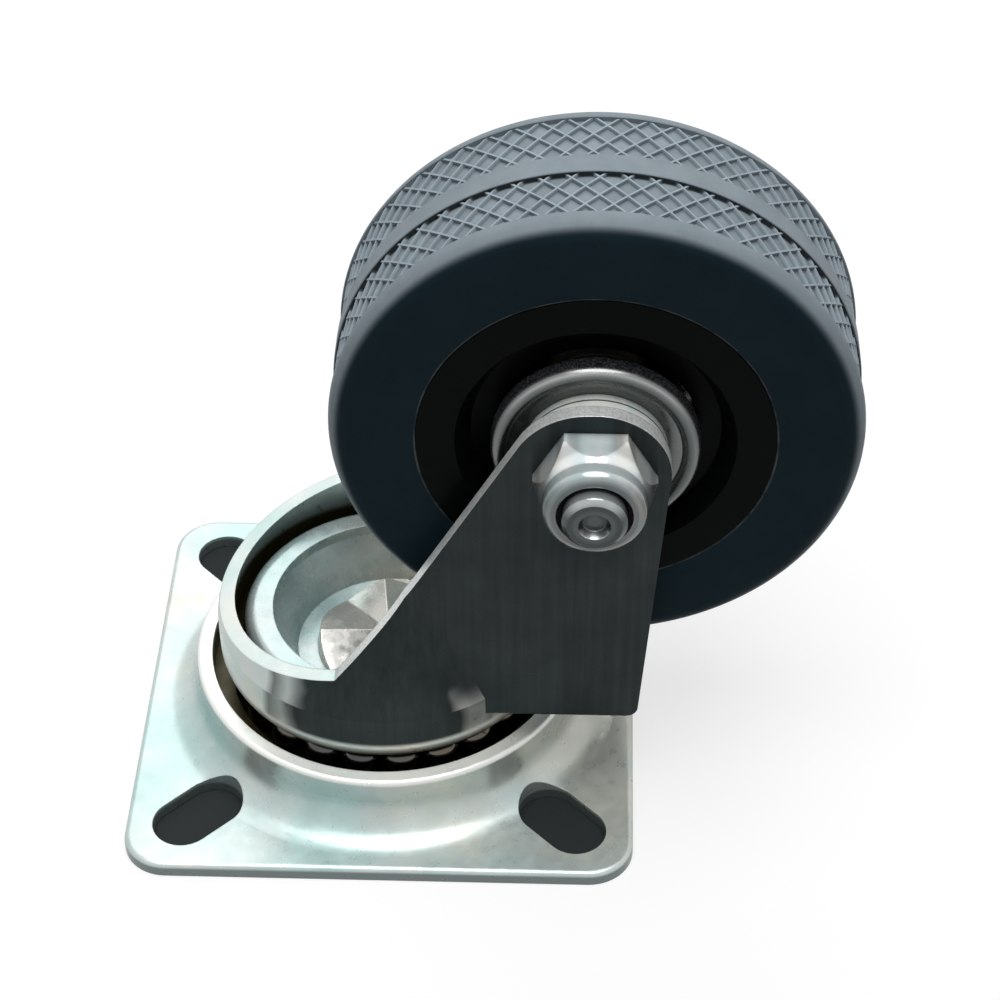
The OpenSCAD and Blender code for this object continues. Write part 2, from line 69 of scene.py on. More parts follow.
# Tread: half width of the middle rib, outer edge of the bands, radius of the rounded shoulder
RIB = 1.3
BAND_EDGE = 7.3
SHOULDER_R = 2.1

# Heights between which a look changes on the plate and on the fork, in millimetres: painted shade low on the
# plate's upright edges, a painted highlight on its rim, and the fork's painted dark reflection above the lip
# and over the folds
PLATE_SKIRT_SHADE = (0.9, 1.3)
PLATE_RIM_HIGHLIGHT = (7.4, 8.0)
CROWN_LIP = (10.3, 11.0)
LEG_FOLD = (13.5, 18.0)
TORN_EDGE = (18.4, 19.0)

# Places along x on the fork, and out along the axle on bushes and caps, in millimetres: where the fork's
# painted dark reflection begins beside the legs, the dark lines painted as shade on the bushes, and the
# cap's wall painted dark as shade
LEG_SIDE = (0.0, 4.0)
BUSH_SHADE_LINES = ((11.0, 11.2), (12.0, 12.3))
CAP_WALL = (10.0, 10.25)

# Greased rings about the swivel axis, also darkened as painted shade: inner and outer radius, lowest and
# highest point, in millimetres
PLATE_GREASE_SHADE = (10.4, 18.4, 3.0, 6.6)
CROWN_GREASE_SHADE = (0.0, 16.1, 0.0, 13.1)
LIP_GREASE_SHADE = (0.0, 20.0, 0.0, 8.8)


# Node helpers

def new_material(name):
    mat = bpy.data.materials.new(name)
    mat.use_nodes = True
    tree = mat.node_tree
    shader = tree.nodes["Principled BSDF"]
    return mat, tree, shader


def add(tree, kind, **settings):
    node = tree.nodes.new(kind)
    for key, value in settings.items():
        if key in node.inputs:
            node.inputs[key].default_value = value
        else:
            setattr(node, key, value)
    return node


def wire(tree, source, target, out=0, into=0):
    tree.links.new(source.outputs[out], target.inputs[into])


def noise(tree, scale, detail=4.0, rough=0.55, stretch=(1, 1, 1)):
    """Noise in object coordinates: the pattern stays on the piece in every pose."""
    coords = tree.nodes.new("ShaderNodeTexCoord")
    mapping = add(tree, "ShaderNodeMapping", Scale=stretch)
    wire(tree, coords, mapping, "Object", "Vector")
    node = add(tree, "ShaderNodeTexNoise", Scale=scale, Detail=detail, Roughness=rough)
    wire(tree, mapping, node, 0, "Vector")
    return node


def ramp(tree, source, stops, out=0):
    """stops is a list of (position, grey or colour)."""
    node = tree.nodes.new("ShaderNodeValToRGB")
    elements = node.color_ramp.elements
    while len(elements) < len(stops):
        elements.new(0.5)
    for element, (position, colour) in zip(elements, stops):
        rgb = (colour,) * 3 if isinstance(colour, (int, float)) else tuple(colour)
        element.position = position
        element.color = rgb + (1,)
    wire(tree, source, node, out, "Fac")
    return node


def span(tree, source, low, high, start=0.0, end=1.0, out=0):
    """Smooth step of a value from start at low to end at high."""
    node = tree.nodes.new("ShaderNodeMapRange")
    node.interpolation_type = "SMOOTHSTEP"
    for key, value in (("From Min", low), ("From Max", high), ("To Min", start), ("To Max", end)):
        node.inputs[key].default_value = value
    wire(tree, source, node, out, "Value")
    return node


def rise(tree, source, low, high, out=0):
    """Smooth step of a length from 0 at low to 1 at high, both in millimetres."""
    return span(tree, source, MM * low, MM * high, out=out)


def fall(tree, source, low, high, out=0):
    """Smooth step of a length from 1 at low to 0 at high, both in millimetres."""
    return span(tree, source, MM * low, MM * high, 1.0, 0.0, out)


def axes(tree, which):
    """Object coordinates or normals, split into x, y and z."""
    coords = tree.nodes.new("ShaderNodeTexCoord")
    split = tree.nodes.new("ShaderNodeSeparateXYZ")
    wire(tree, coords, split, which, 0)
    return split


def math_node(tree, kind, a, b=None, out=0):
    """Maths on output out of node a and, where given, the number or node b."""
    node = add(tree, "ShaderNodeMath", operation=kind)
    wire(tree, a, node, out, 0)
    if isinstance(b, (int, float)):
        node.inputs[1].default_value = b
    elif b is not None:
        wire(tree, b, node, 0, 1)
    return node


def times(tree, first, *others):
    """Product of the first outputs of several nodes."""
    product = first
    for other in others:
        product = math_node(tree, "MULTIPLY", product, other)
    return product


def size_of(tree, source, out):
    """One output of a node without its sign."""
    return math_node(tree, "ABSOLUTE", source, out=out)


def result(node):
    """The output that carries a node's colour or value."""
    return node.outputs[2] if node.type == "MIX" else node.outputs[0]


def mix(tree, kind, fac, a, b):
    """Colour mix; fac, a and b are nodes or plain values."""
    node = tree.nodes.new("ShaderNodeMix")
    node.data_type = "RGBA"
    node.blend_type = kind
    for value, socket in ((fac, node.inputs[0]), (a, node.inputs[6]), (b, node.inputs[7])):
        if isinstance(value, bpy.types.Node):
            tree.links.new(result(value), socket)
        elif isinstance(value, (int, float)):
            socket.default_value = value
        else:
            socket.default_value = tuple(value) + (1,)
    return node


def cover(tree, share, colour, other):
    """colour, with other over it where share is 1."""
    return mix(tree, "MIX", share, colour, other)


def shade(tree, colour, grey):
    """colour multiplied by grey."""
    return mix(tree, "MULTIPLY", 1.0, colour, grey)


def put(tree, source, shader, name):
    tree.links.new(result(source), shader.inputs[name])


def bumps(tree, shader, parts, edge=None):
    """Chain of (node, strength, height) bumps, on softened edges where edge gives a radius; millimetres."""
    last = None
    if edge:
        last = add(tree, "ShaderNodeBevel", Radius=MM * edge)
        last.samples = 4
    for source, strength, height in parts:
        node = add(tree, "ShaderNodeBump", Strength=strength, Distance=MM * height)
        wire(tree, source, node, 0, "Height")
        if last:
            wire(tree, last, node, 0, "Normal")
        last = node
    wire(tree, last, shader, 0, "Normal")


def painted_crevice_shade(tree, reach, low):
    """Painted shade: grey that falls to low where neighbouring faces come close; reach in millimetres."""
    node = add(tree, "ShaderNodeAmbientOcclusion", Distance=MM * reach)
    node.samples = 4
    return ramp(tree, node, [(0.0, low), (0.75, 1.0)], out=1)


def distance_from(tree, centre, keep):
    """Distance from an axis through centre; keep holds 1 for the two directions across it."""
    coords = tree.nodes.new("ShaderNodeTexCoord")
    shifted = add(tree, "ShaderNodeVectorMath", operation="SUBTRACT")
    shifted.inputs[1].default_value = centre
    wire(tree, coords, shifted, "Object", 0)
    across = add(tree, "ShaderNodeVectorMath", operation="MULTIPLY")
    across.inputs[1].default_value = keep
    wire(tree, shifted, across)
    length = add(tree, "ShaderNodeVectorMath", operation="LENGTH")
    wire(tree, across, length)
    # The length is not the node's first output, so a product with 1 passes it on as one
    return math_node(tree, "MULTIPLY", length, 1.0, out="Value")


def axle_distance(tree):
    return distance_from(tree, (MM * AXLE_X, MM * AXLE_Y, MM * AXLE_Z), (1, 0, 1))


def swivel_distance(tree):
    return distance_from(tree, (0, 0, 0), (1, 1, 0))


def greased_and_shaded(tree, r_low, r_high, z_low, z_high):
    """1 inside a ring about the swivel axis, where the ball grease lies and shade is painted; millimetres.
    """
    radius, where = swivel_distance(tree), axes(tree, "Object")
    inside = times(tree, rise(tree, radius, r_low - 0.2, r_low), fall(tree, radius, r_high, r_high + 0.1))
    level = times(tree, rise(tree, where, z_low - 0.2, z_low, out=2),
                  fall(tree, where, z_high, z_high + 1.2, out=2))
    return times(tree, inside, level)


def turned_rings(tree, step):
    """Grey rings round the axle, as from a turning tool, and the near end that has them; millimetres."""
    wave = math_node(tree, "SINE", math_node(tree, "MULTIPLY", axle_distance(tree), TAU / (MM * step)))
    near = fall(tree, axes(tree, "Object"), -1.0, 1.0, out=1)
    return times(tree, span(tree, wave, -1.0, 1.0), near), near


# Colours laid over a material: grease, dust and specks, and painted shade, shadow and highlight

GREASE_AND_SHADE = (0.048, 0.042, 0.014)
FACING_SHADE = (0.05, 0.06, 0.06)
SEAM_SHADE = (0.06, 0.07, 0.07)
RIM_HIGHLIGHT = (0.95, 0.96, 0.92)
EDGE_FOOT_SHADE = (0.20, 0.24, 0.24)
RIB_STEP_SHADOW = (0.045, 0.055, 0.06)
WALL_SPECK = (0.05, 0.055, 0.06)
RUBBER_SEAM_HIGHLIGHT = (0.12, 0.13, 0.13)
DUST = (0.05, 0.05, 0.05)


# Materials

def paint_facing_shade(tree, colour, depth):
    """Painted shade: darkens what faces out along the axle or sideways, rather than up."""
    normal = axes(tree, "Normal")
    out = span(tree, size_of(tree, normal, 1), 0.55, 0.98)
    flank = times(tree, span(tree, normal, 0.15, 0.85, 1.0, 0.0, out=2),
                  span(tree, normal, -0.95, -0.55, 0.4, 1.0, out=2))
    share = math_node(tree, "MULTIPLY", math_node(tree, "MAXIMUM", out, flank), depth)
    return cover(tree, share, colour, FACING_SHADE)


def zinc(name, base, warm, cool, rough, metal=0.4, crevice_shade_low=0.35, edge=0.15, rings=None, dark=None,
         track=None, rim=None, skirt=None, patch=60, seams=()):
    """Bright plating: pale, with faint yellow and blue-green bloom and fine wear.

    edge is the radius of softened edges, rings the step of turned rings, dark the depth of painted shade on
    faces turned out along the axle or sideways, and track a greased ring that is also darkened as painted
    shade. rim gives the heights between which the plate turns pale, a painted highlight, skirt those between
    which its upright cut edges stop being painted dark as shade, and seams the places along the axle of dark
    lines painted as shade.
    Lengths are in millimetres.
    """
    mat, tree, shader = new_material(name)
    bloom = ramp(tree, noise(tree, patch, 3), [(0.38, cool), (0.5, base), (0.62, warm)])
    cloud = ramp(tree, noise(tree, 260, 5), [(0.3, 0.88), (0.7, 1.06)])
    colour = shade(tree, bloom, cloud)
    relief = [(noise(tree, 420, 3), 0.10, 0.2), (noise(tree, 3000, 3), 0.02, 0.05)]
    if dark:
        # Painted shade on faces turned out along the axle or sideways
        colour = paint_facing_shade(tree, colour, dark)
    # Dark lines painted as shade round the bush, across its flange and where it meets the leg
    for low, high in seams:
        along = size_of(tree, axes(tree, "Object"), 1)
        line = times(tree, rise(tree, along, low, low + 0.1), fall(tree, along, high, high + 0.1))
        colour = cover(tree, line, colour, SEAM_SHADE)
    if rings:
        turned, near = turned_rings(tree, rings)
        colour = mix(tree, "MULTIPLY", near, colour, ramp(tree, turned, [(0.0, 0.72), (1.0, 1.12)]))
        relief.append((turned, 0.25, 0.06))
    # Painted shade where neighbouring faces come close
    colour = shade(tree, colour, painted_crevice_shade(tree, 3.0, crevice_shade_low))
    # Painted highlight: the plate turns pale above the rim heights
    if rim:
        colour = cover(tree, rise(tree, axes(tree, "Object"), *rim, out=2), colour, RIM_HIGHLIGHT)
    # Painted shade: upright faces turn dark low down, near the floor
    if skirt:
        upright = span(tree, size_of(tree, axes(tree, "Normal"), 2), 0.3, 0.6, 1.0, 0.0)
        below = fall(tree, axes(tree, "Object"), *skirt, out=2)
        colour = cover(tree, times(tree, upright, below), colour, EDGE_FOOT_SHADE)
    # Grease in the ball track, darkened further as painted shade
    if track:
        colour = cover(tree, greased_and_shaded(tree, *track), colour, GREASE_AND_SHADE)
    put(tree, colour, shader, "Base Color")
    shader.inputs["Metallic"].default_value = metal
    wear = ramp(tree, noise(tree, 700, 6), [(0.3, rough - 0.07), (0.7, rough + 0.1)])
    put(tree, wear, shader, "Roughness")
    bumps(tree, shader, relief, edge)
    return mat


def fork_plating(tree, where, normal):
    """Pale plating, with a torn look on the legs' cut edges above the ring."""
    bloom = ramp(tree, noise(tree, 70, 3), [(0.36, (0.52, 0.66, 0.63)), (0.5, (0.63, 0.69, 0.67)),
                                            (0.66, (0.72, 0.71, 0.64))])
    cut = span(tree, size_of(tree, normal, 1), 0.15, 0.3, 1.0, 0.0)
    cut = times(tree, cut, rise(tree, where, *TORN_EDGE, out=2))
    torn = ramp(tree, noise(tree, 4200, 2, 0.5), [(0.35, (0.70, 0.73, 0.72)), (0.62, (0.93, 0.95, 0.93))])
    return cover(tree, cut, bloom, torn)


def fork_painted_dark_share(tree, where, normal):
    """1 on the outer faces of legs and crown, painted dark as a dark reflection, less at the folds between
    them, where a lighter streak is a painted highlight.
    """
    outward = math_node(tree, "MULTIPLY", normal, math_node(tree, "SIGN", where, out=1), out=1)
    wander = ramp(tree, noise(tree, 150, 2), [(0.3, 0.0), (0.7, 0.03)])
    # Across the fold the dark lifts to a lighter streak: a painted highlight
    fold = ramp(tree, math_node(tree, "ADD", outward, wander),
                [(0.0, 0.0), (0.75, 0.0), (0.79, 0.75), (0.82, 0.55), (0.85, 0.25), (0.905, 1.0)])
    above_lip = rise(tree, where, *CROWN_LIP, out=2)
    ragged = span(tree, noise(tree, 150, 2), 0.3, 0.7, -1.5 * MM, 1.5 * MM)
    height = math_node(tree, "ADD", where, ragged, out=2)
    fold_low, fold_high = (MM * z for z in LEG_FOLD)
    low_fold = span(tree, height, fold_low, fold_high, 0.5, 1.0)
    leg_side = rise(tree, where, *LEG_SIDE)
    beside_leg = times(tree, leg_side, low_fold, span(tree, outward, 0.3, 0.4), above_lip)
    return math_node(tree, "MAXIMUM", times(tree, fold, above_lip), beside_leg)


def leg_metal(name):
    """The fork: pale plating on ring and crown, painted dark on the outer faces of legs and crown as a dark
    reflection.
    """
    mat, tree, shader = new_material(name)
    where, normal = axes(tree, "Object"), axes(tree, "Normal")
    brushed = noise(tree, 1500, 3, 0.6, (1, 1, 0.03))
    # Painted dark reflection: the dark colour of the outer faces, with brushed streaks
    clouds = ramp(tree, noise(tree, 110, 4), [(0.3, (0.014, 0.020, 0.021)), (0.7, (0.030, 0.038, 0.039))])
    dark = shade(tree, clouds, ramp(tree, brushed, [(0.3, 0.80), (0.7, 1.20)]))
    colour = cover(tree, fork_painted_dark_share(tree, where, normal), fork_plating(tree, where, normal), dark)
    # Painted shade where neighbouring faces come close
    colour = shade(tree, colour, painted_crevice_shade(tree, 3.0, 0.3))
    # Grease inside the crown and under its lip, darkened further as painted shade
    for grease_shade_ring in (CROWN_GREASE_SHADE, LIP_GREASE_SHADE):
        colour = cover(tree, greased_and_shaded(tree, *grease_shade_ring), colour, GREASE_AND_SHADE)
    put(tree, colour, shader, "Base Color")
    shader.inputs["Metallic"].default_value = 0.5
    shader.inputs["Specular IOR Level"].default_value = 0.2
    put(tree, ramp(tree, noise(tree, 700, 6), [(0.3, 0.26), (0.7, 0.40)]), shader, "Roughness")
    bumps(tree, shader, [(noise(tree, 420, 3), 0.10, 0.2), (brushed, 0.05, 0.05)], edge=0.2)
    return mat


def rubber(name):
    """Grey moulded rubber: tread with ridges painted light as highlight and their feet dark as shadow, sides
    painted dark as shade, a painted shadow line beside the rib.
    """
    mat, tree, shader = new_material(name)
    tone = add(tree, "ShaderNodeAttribute", attribute_name="tone")
    side, radius = size_of(tree, axes(tree, "Object"), 1), axle_distance(tree)
    tread = ramp(tree, noise(tree, 350, 5), [(0.3, (0.238, 0.282, 0.315)), (0.7, (0.283, 0.333, 0.367))])
    # The tone attribute paints ridges light as highlight and their feet dark as shadow
    tread = shade(tree, tread, ramp(tree, tone, [(0.0, 0.64), (1.0, 1.38)]))
    # Painted shadow: a dark line where the rib steps down to each band
    step = times(tree, rise(tree, side, RIB - 0.08, RIB), fall(tree, side, RIB + 0.1, RIB + 0.3),
                 fall(tree, radius, WHEEL_R - 0.16, WHEEL_R - 0.08))
    tread = cover(tree, step, tread, RIB_STEP_SHADOW)
    # The sides are painted far darker than the tread, as shade
    wall = ramp(tree, noise(tree, 160, 5), [(0.3, (0.009, 0.021, 0.029)), (0.7, (0.012, 0.027, 0.037))])
    specks = ramp(tree, noise(tree, 2600, 2, 0.5), [(0.73, 0.0), (0.78, 0.35)])
    wall = cover(tree, specks, wall, WALL_SPECK)
    colour = cover(tree, rise(tree, side, HALF_W - 0.8, HALF_W - 0.18), tread, wall)
    # Painted highlight: a pale line along the rubber's edge at the core
    patchy = ramp(tree, noise(tree, 400, 3), [(0.42, 0.1), (0.6, 0.8)])
    seam_highlight = times(tree, fall(tree, radius, CORE_R + 0.2, CORE_R + 0.28), patchy)
    put(tree, cover(tree, seam_highlight, colour, RUBBER_SEAM_HIGHLIGHT), shader, "Base Color")
    put(tree, ramp(tree, noise(tree, 800, 5), [(0.3, 0.38), (0.7, 0.52)]), shader, "Roughness")
    shader.inputs["Specular IOR Level"].default_value = 0.04
    bumps(tree, shader, [(noise(tree, 5200, 3), 0.10, 0.06), (noise(tree, 600, 3), 0.05, 0.2)])
    return mat


def plastic(name, colour, rough):
    """Dull moulded plastic with fine dust."""
    mat, tree, shader = new_material(name)
    darker, lighter = (tuple(share * c for c in colour) for share in (0.8, 1.2))
    tint = ramp(tree, noise(tree, 240, 5), [(0.3, darker), (0.7, lighter)])
    dust = ramp(tree, noise(tree, 3400, 2, 0.5), [(0.75, 0.0), (0.79, 0.25)])
    put(tree, cover(tree, dust, tint, DUST), shader, "Base Color")
    wear = ramp(tree, noise(tree, 900, 4), [(0.3, rough - 0.05), (0.7, rough + 0.08)])
    put(tree, wear, shader, "Roughness")
    shader.inputs["Specular IOR Level"].default_value = 0.03
    bumps(tree, shader, [(noise(tree, 2400, 3), 0.06, 0.08)], edge=0.1)
    return mat


def bright_cap(name):
    """Pressed cap: rings of painted highlight and shade across rolled rim and web, rough speckled outer wall
    painted dark as shade.
    """
    web_r, rim_r = 6.5, 9.75
    mat, tree, shader = new_material(name)
    bright = ramp(tree, noise(tree, 200, 4), [(0.3, (0.56, 0.58, 0.57)), (0.7, (0.72, 0.73, 0.71))])
    across = add(tree, "ShaderNodeMapRange")
    across.inputs["From Min"].default_value = MM * web_r
    across.inputs["From Max"].default_value = MM * rim_r
    wire(tree, axle_distance(tree), across)
    # Bright and dark rings across rim and web are painted highlights and painted shade
    rings = ramp(tree, across, [(0.0, 0.6), (0.25, 1.1), (0.46, 1.4), (0.52, 1.5), (0.57, 1.3), (0.62, 0.22),
                                (0.68, 0.35), (0.77, 0.8), (0.83, 1.25), (0.89, 1.1), (0.94, 0.4),
                                (1.0, 0.25)])
    speckle = noise(tree, 5200, 2, 0.6)
    # The outer wall is speckled and painted dark as shade
    speckled_wall_shade = ramp(tree, speckle, [(0.42, (0.018, 0.021, 0.028)), (0.72, (0.26, 0.27, 0.29))])
    wall = fall(tree, size_of(tree, axes(tree, "Object"), 1), *CAP_WALL)
    colour = cover(tree, wall, paint_facing_shade(tree, shade(tree, bright, rings), 0.85), speckled_wall_shade)
    put(tree, shade(tree, colour, painted_crevice_shade(tree, 2.5, 0.25)), shader, "Base Color")
    shader.inputs["Metallic"].default_value = 0.75
    put(tree, ramp(tree, noise(tree, 800, 4), [(0.3, 0.18), (0.7, 0.34)]), shader, "Roughness")
    bumps(tree, shader, [(speckle, 0.12, 0.06)], edge=0.1)
    return mat


ZINC = zinc("zinc_plate", (0.61, 0.69, 0.67), (0.68, 0.70, 0.63), (0.50, 0.66, 0.64), 0.31, metal=0.45,
            track=PLATE_GREASE_SHADE, rim=PLATE_RIM_HIGHLIGHT, skirt=PLATE_SKIRT_SHADE)
CUP = zinc("zinc_cup", (0.54, 0.61, 0.60), (0.64, 0.63, 0.56), (0.44, 0.58, 0.57), 0.25, metal=0.5,
           crevice_shade_low=0.25)
NUT = zinc("zinc_nut", (0.88, 0.91, 0.90), (0.94, 0.93, 0.87), (0.72, 0.84, 0.85), 0.14, metal=0.35,
           crevice_shade_low=0.1, edge=0.3, dark=0.76, rings=0.8, patch=240)
TURNED = zinc("turned_steel", (0.88, 0.91, 0.88), (0.95, 0.94, 0.87), (0.74, 0.85, 0.82), 0.2, metal=0.15,
              dark=0.4, patch=240, seams=BUSH_SHADE_LINES)
BOLT = zinc("bolt_steel", (0.62, 0.63, 0.62), (0.70, 0.69, 0.66), (0.50, 0.54, 0.54), 0.2, metal=0.7,
            edge=0.2, dark=0.95, rings=1.3)
STAKED = zinc("staked_steel", (0.82, 0.80, 0.75), (0.90, 0.86, 0.79), (0.68, 0.67, 0.64), 0.24, metal=0.65,
              crevice_shade_low=0.3, edge=0.2)
# Steel painted dark, as grease and as painted shade in the narrow gap where the balls sit
BALLS = zinc("ball_steel", (0.13, 0.13, 0.12), (0.16, 0.14, 0.11), (0.10, 0.11, 0.11), 0.14, metal=1.0,
             crevice_shade_low=0.3, edge=None)
FORK = leg_metal("fork_metal")
RUBBER = rubber("grey_rubber")
CORE = plastic("core_plastic", (0.003, 0.004, 0.004), 0.30)
INSERT = plastic("insert_nylon", (0.02, 0.02, 0.022), 0.5)
CAP = bright_cap("bright_cap")

LOOKS = {
    "mounting_plate": ZINC, "kingpin": STAKED, "retainer_cup": CUP, "lower_balls": BALLS,
    "upper_balls": BALLS, "fork": FORK, "axle_bolt": BOLT, "lock_nut": NUT, "nut_insert": INSERT,
    "near_bush": TURNED, "far_bush": TURNED, "near_dust_cap": CAP, "far_dust_cap": CAP, "wheel_core": CORE,
    "tyre": RUBBER, "bearing_outer_ring": BALLS, "bearing_inner_ring": BALLS, "bearing_balls": BALLS,
    "bearing_cage": BALLS, "near_shield": BALLS, "far_shield": BALLS,
}
for name, obj in nodes.items():
    obj.data.materials.clear()
    obj.data.materials.append(LOOKS[name])


# Tyre with a lattice of diamond ridges in two sunk bands

# Diamonds round the wheel, their length across the tread, radius of the bands' floor, height of the ridges
DIAMONDS = 62
ROW = 2.72
FLOOR_R = 24.45
RIDGE_H = 0.34

# Middle of a row of diamonds in each band, and how far the band's pattern is turned
NEAR_ROW_Y, NEAR_TURN = -1.92, math.radians(-0.2)
FAR_ROW_Y, FAR_TURN = 2.13, math.radians(-1.6)

# Places across one diamond, and whether the ridge stands there; the feet lie just beside the ridges, where
# shadow is painted
STEPS = (0.0, 0.05, 0.085, 0.30, 0.70, 0.915, 0.95, 1.0)
RAISED = (True, True, False, False, False, False, True, True)
FEET = (2, 5)

# Most that a diamond's floor tilts, in millimetres across it, and the seed of tilts and paleness
FLOOR_TILT = 0.03
SEED = 7

# Paleness of ridges, painted light as a highlight, of their feet, painted dark as shadow, of plain rubber,
# and of floors, which differ by up to the spread
RIDGE_HIGHLIGHT_TONE = 1.0
FOOT_SHADOW_TONE = 0.22
PLAIN_TONE = 0.5
FLOOR_TONE = 0.35
TONE_SPREAD = 0.3

# Radii of the plain rings on the sidewall, points in each ring, and the angle that counts as a sharp edge
WALL_RINGS = (21.0, 19.0)
RING_POINTS = 248
SHARP = math.radians(32)

# How far a point may lie from the plane of a band's edge, in metres
ON_PLANE = 2e-7


def on_wheel(r, angle, y):
    """Point in metres at radius r, an angle from the top, and y along the axle."""
    return (MM * (AXLE_X + r * math.sin(angle)), MM * y, MM * (AXLE_Z + r * math.cos(angle)))


def angle_of(vert):
    """Angle of a point from the wheel's top, from 0 to a full turn."""
    return math.atan2(vert.co.x / MM - AXLE_X, vert.co.z / MM - AXLE_Z) % TAU


def lattice(bm, tone, y_low, y_high, row_y, phase, chance):
    """Faces of the ridge lattice, over at least the width from y_low to y_high."""
    steps = len(STEPS) - 1
    total = DIAMONDS * steps
    made = {}
    faces = []
    first = math.floor(2 * (y_low - row_y) / ROW) - 1
    last = math.ceil(2 * (y_high - row_y) / ROW) + 1
    for d in range(first, last + 1):
        for j in range(DIAMONDS):
            tilt = [chance.uniform(-FLOOR_TILT, FLOOR_TILT) for _ in range(2)]
            paleness = chance.random()
            grid = []
            for p, fa in enumerate(STEPS):
                for q, fb in enumerate(STEPS):
                    row, col = (j + d) * steps + p, j * steps + q
                    turns = col // total
                    key = (row - turns * total, col - turns * total)
                    if key not in made:
                        a, b = j + d + fa, j + fb
                        y = row_y + ROW * (a - b) / 2
                        turn = TAU * (a + b) / 2 / DIAMONDS + phase
                        if RAISED[p] or RAISED[q]:
                            height, level = RIDGE_H, RIDGE_HIGHLIGHT_TONE
                        else:
                            height = tilt[0] * (fa - 0.5) + tilt[1] * (fb - 0.5)
                            at_foot = p in FEET or q in FEET
                            level = FOOT_SHADOW_TONE if at_foot else FLOOR_TONE + TONE_SPREAD * paleness
                        made[key] = bm.verts.new(on_wheel(FLOOR_R + height, turn, y))
                        made[key][tone] = level
                    grid.append(made[key])
            wide = len(STEPS)
            for p in range(steps):
                for q in range(steps):
                    here = p * wide + q
                    corners = (here, here + wide, here + wide + 1, here + 1)
                    faces.append(bm.faces.new([grid[corner] for corner in corners]))
    return faces


def tread_band(bm, tone, y_low, y_high, row_y, phase, chance):
    """Ridge lattice on the band's floor, clipped to its width; gives the two edge loops."""
    faces = lattice(bm, tone, y_low, y_high, row_y, phase, chance)
    loops = []
    for y, side in ((y_low, -1), (y_high, 1)):
        faces = [f for f in faces if f.is_valid]
        edges = {e for f in faces for e in f.edges}
        verts = {v for f in faces for v in f.verts}
        cut = bmesh.ops.bisect_plane(bm, geom=list(verts) + list(edges) + faces, dist=1e-7,
                                     plane_co=(0, MM * y, 0), plane_no=(0, side, 0), clear_outer=True)
        faces = [g for g in cut["geom"] if isinstance(g, bmesh.types.BMFace)]
        touched = set()
        for g in cut["geom_cut"]:
            touched.update([g] if isinstance(g, bmesh.types.BMVert) else g.verts)
        loops.append([v for v in touched if abs(v.co.y - MM * y) < ON_PLANE])
    return loops


def ring(bm, tone, r, y):
    """Plain ring of points about the axle."""
    points = []
    for i in range(RING_POINTS):
        v = bm.verts.new(on_wheel(r, TAU * i / RING_POINTS, y))
        v[tone] = PLAIN_TONE
        points.append(v)
    return points


def stitch(bm, one, two):
    """Closes the strip between two rings of points by advancing whichever lags."""
    one = sorted(one, key=angle_of)
    two = sorted(two, key=angle_of)
    a = [angle_of(v) for v in one] + [TAU + angle_of(one[0])]
    b = [angle_of(v) for v in two] + [TAU + angle_of(two[0])]
    i = j = 0
    while i < len(one) or j < len(two):
        here, there = one[i % len(one)], two[j % len(two)]
        if j >= len(two) or (i < len(one) and a[i + 1] <= b[j + 1]):
            bm.faces.new((here, one[(i + 1) % len(one)], there))
            i += 1
        else:
            bm.faces.new((here, two[(j + 1) % len(two)], there))
            j += 1


def stitch_all(bm, rings):
    """Closes the strips between neighbouring rings."""
    for one, two in zip(rings, rings[1:]):
        stitch(bm, one, two)


def side_profile(sign):
    """From the tread band's outer edge over the shoulder and down the sidewall to the core."""
    points = [(WHEEL_R - 0.07, BAND_EDGE), (WHEEL_R - 0.02, BAND_EDGE + 0.05), (WHEEL_R, BAND_EDGE + 0.12)]
    arc_steps = 12
    for k in range(arc_steps + 1):
        a = math.pi / 2 * k / arc_steps
        points.append((WHEEL_R - SHOULDER_R + SHOULDER_R * math.cos(a),
                       HALF_W - SHOULDER_R + SHOULDER_R * math.sin(a)))
    points += [(r, HALF_W) for r in WALL_RINGS]
    points += [(CORE_R + 0.22, HALF_W), (CORE_R + 0.08, HALF_W - 0.05), (CORE_R + 0.02, HALF_W - 0.22),
               (CORE_R + 0.02, HALF_W - 1.0)]
    return [(r, sign * y) for r, y in points]


def rib_profile():
    """Across the plain rib in the middle, with its two small edges."""
    return [(WHEEL_R - 0.06, -RIB), (WHEEL_R, -RIB + 0.07), (WHEEL_R, 0), (WHEEL_R, RIB - 0.07),
            (WHEEL_R - 0.06, RIB)]


def tyre():
    """One closed piece: both bands, the rib between them, the shoulders, the sides and the inner face."""
    bm = bmesh.new()
    tone = bm.verts.layers.float.new("tone")
    chance = random.Random(SEED)
    near_out, near_in = tread_band(bm, tone, -BAND_EDGE, -RIB, NEAR_ROW_Y, NEAR_TURN, chance)
    far_in, far_out = tread_band(bm, tone, RIB, BAND_EDGE, FAR_ROW_Y, FAR_TURN, chance)
    inner = []
    for sign, loop in ((-1, near_out), (1, far_out)):
        rings = [ring(bm, tone, r, y) for r, y in side_profile(sign)]
        stitch_all(bm, [loop] + rings)
        inner.append(rings[-1])
    stitch_all(bm, inner)
    stitch_all(bm, [near_in] + [ring(bm, tone, r, y) for r, y in rib_profile()] + [far_in])
    bmesh.ops.triangulate(bm, faces=[f for f in bm.faces if len(f.verts) > 4])
    bmesh.ops.recalc_face_normals(bm, faces=bm.faces[:])
    mesh = bpy.data.meshes.new("tyre_tread")
    bm.to_mesh(mesh)
    bm.free()
    for poly in mesh.polygons:
        poly.use_smooth = True
    mesh.set_sharp_from_angle(angle=SHARP)
    mesh.materials.append(RUBBER)
    obj = bpy.data.objects.new("tyre_tread", mesh)
    bpy.context.scene.collection.objects.link(obj)
    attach(obj, "wheel")
    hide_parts("tyre")


tyre()


# Studio: pale floor, soft lamps, white world; metres and watts

